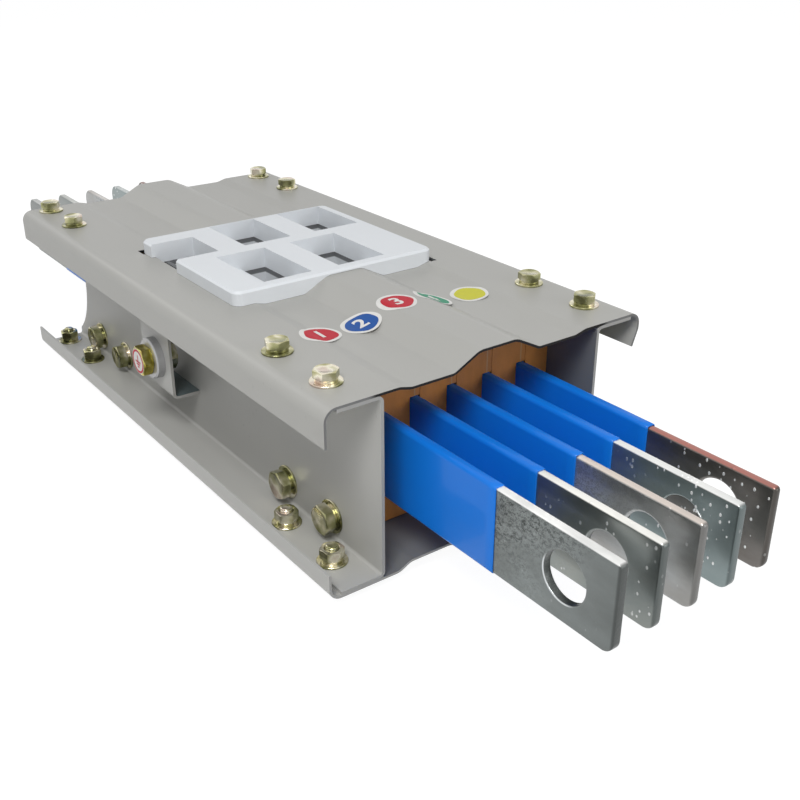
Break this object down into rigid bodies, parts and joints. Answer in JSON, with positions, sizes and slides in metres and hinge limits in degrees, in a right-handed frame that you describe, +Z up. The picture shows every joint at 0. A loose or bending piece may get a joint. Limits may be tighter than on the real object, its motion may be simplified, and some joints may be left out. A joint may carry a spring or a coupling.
{
  "type": "air insulated busway",
  "caption": "Straight length of air insulated busway: sleeved flat conductors clamped on edge in a bolted sheet steel duct, with a plug-in outlet in its cover.",
  "frame": {"origin": "midway along the conductors and across the duct, on the surface that the lower bolt heads stand on", "axes": "+X across the duct away from the earth terminal, +Y along the conductors from the end with the plain web to the notched end, +Z up through the plug-in outlet"},
  "size_m": [0.23, 0.76, 0.1324],
  "materials": {
    "housing_paint": "satin",
    "tinned_copper": "satin",
    "blue_sleeve": "gloss",
    "brown_insulator": "matte",
    "yellow_zinc": "satin",
    "outlet_white": "satin",
    "guide_grey": "matte",
    "bare_steel": "satin"
  },
  "bodies": {
    "root": {"bottom_cover": "housing_paint", "bottom_cover_bolts": "yellow_zinc", "bottom_cover_nuts": "yellow_zinc", "bottom_cover_washers": "yellow_zinc", "busbar_1": "tinned_copper", "busbar_2": "tinned_copper", "busbar_3": "tinned_copper", "busbar_4": "tinned_copper", "busbar_5": "tinned_copper", "busbar_sleeve_1": "blue_sleeve", "busbar_sleeve_2": "blue_sleeve", "busbar_sleeve_3": "blue_sleeve", "busbar_sleeve_4": "blue_sleeve", "busbar_sleeve_5": "blue_sleeve", "contact_shroud_1": "guide_grey", "contact_shroud_2": "guide_grey", "contact_shroud_3": "guide_grey", "contact_shroud_4": "guide_grey", "contact_shroud_5": "guide_grey", "earth_bolt": "yellow_zinc", "earth_boss": "bare_steel", "earth_bracket": "housing_paint", "earth_nut": "yellow_zinc", "outlet_frame": "outlet_white", "outlet_guide": "guide_grey", "side_channel_left": "housing_paint", "side_channel_right": "housing_paint", "support_back_inner_1": "brown_insulator", "support_back_inner_2": "brown_insulator", "support_back_inner_3": "brown_insulator", "support_back_inner_4": "brown_insulator", "support_back_inner_5": "brown_insulator", "support_back_inner_6": "brown_insulator", "support_back_outer_1": "brown_insulator", "support_back_outer_2": "brown_insulator", "support_back_outer_3": "brown_insulator", "support_back_outer_4": "brown_insulator", "support_back_outer_5": "brown_insulator", "support_back_outer_6": "brown_insulator", "support_front_inner_1": "brown_insulator", "support_front_inner_2": "brown_insulator", "support_front_inner_3": "brown_insulator", "support_front_inner_4": "brown_insulator", "support_front_inner_5": "brown_insulator", "support_front_inner_6": "brown_insulator", "support_front_outer_1": "brown_insulator", "support_front_outer_2": "brown_insulator", "support_front_outer_3": "brown_insulator", "support_front_outer_4": "brown_insulator", "support_front_outer_5": "brown_insulator", "support_front_outer_6": "brown_insulator", "tie_bolts": "yellow_zinc", "tie_nuts": "yellow_zinc", "tie_washers": "yellow_zinc", "top_cover": "housing_paint", "top_cover_bolts": "yellow_zinc", "top_cover_nuts": "yellow_zinc", "top_cover_washers": "yellow_zinc"}
  },
  "joints": []
}
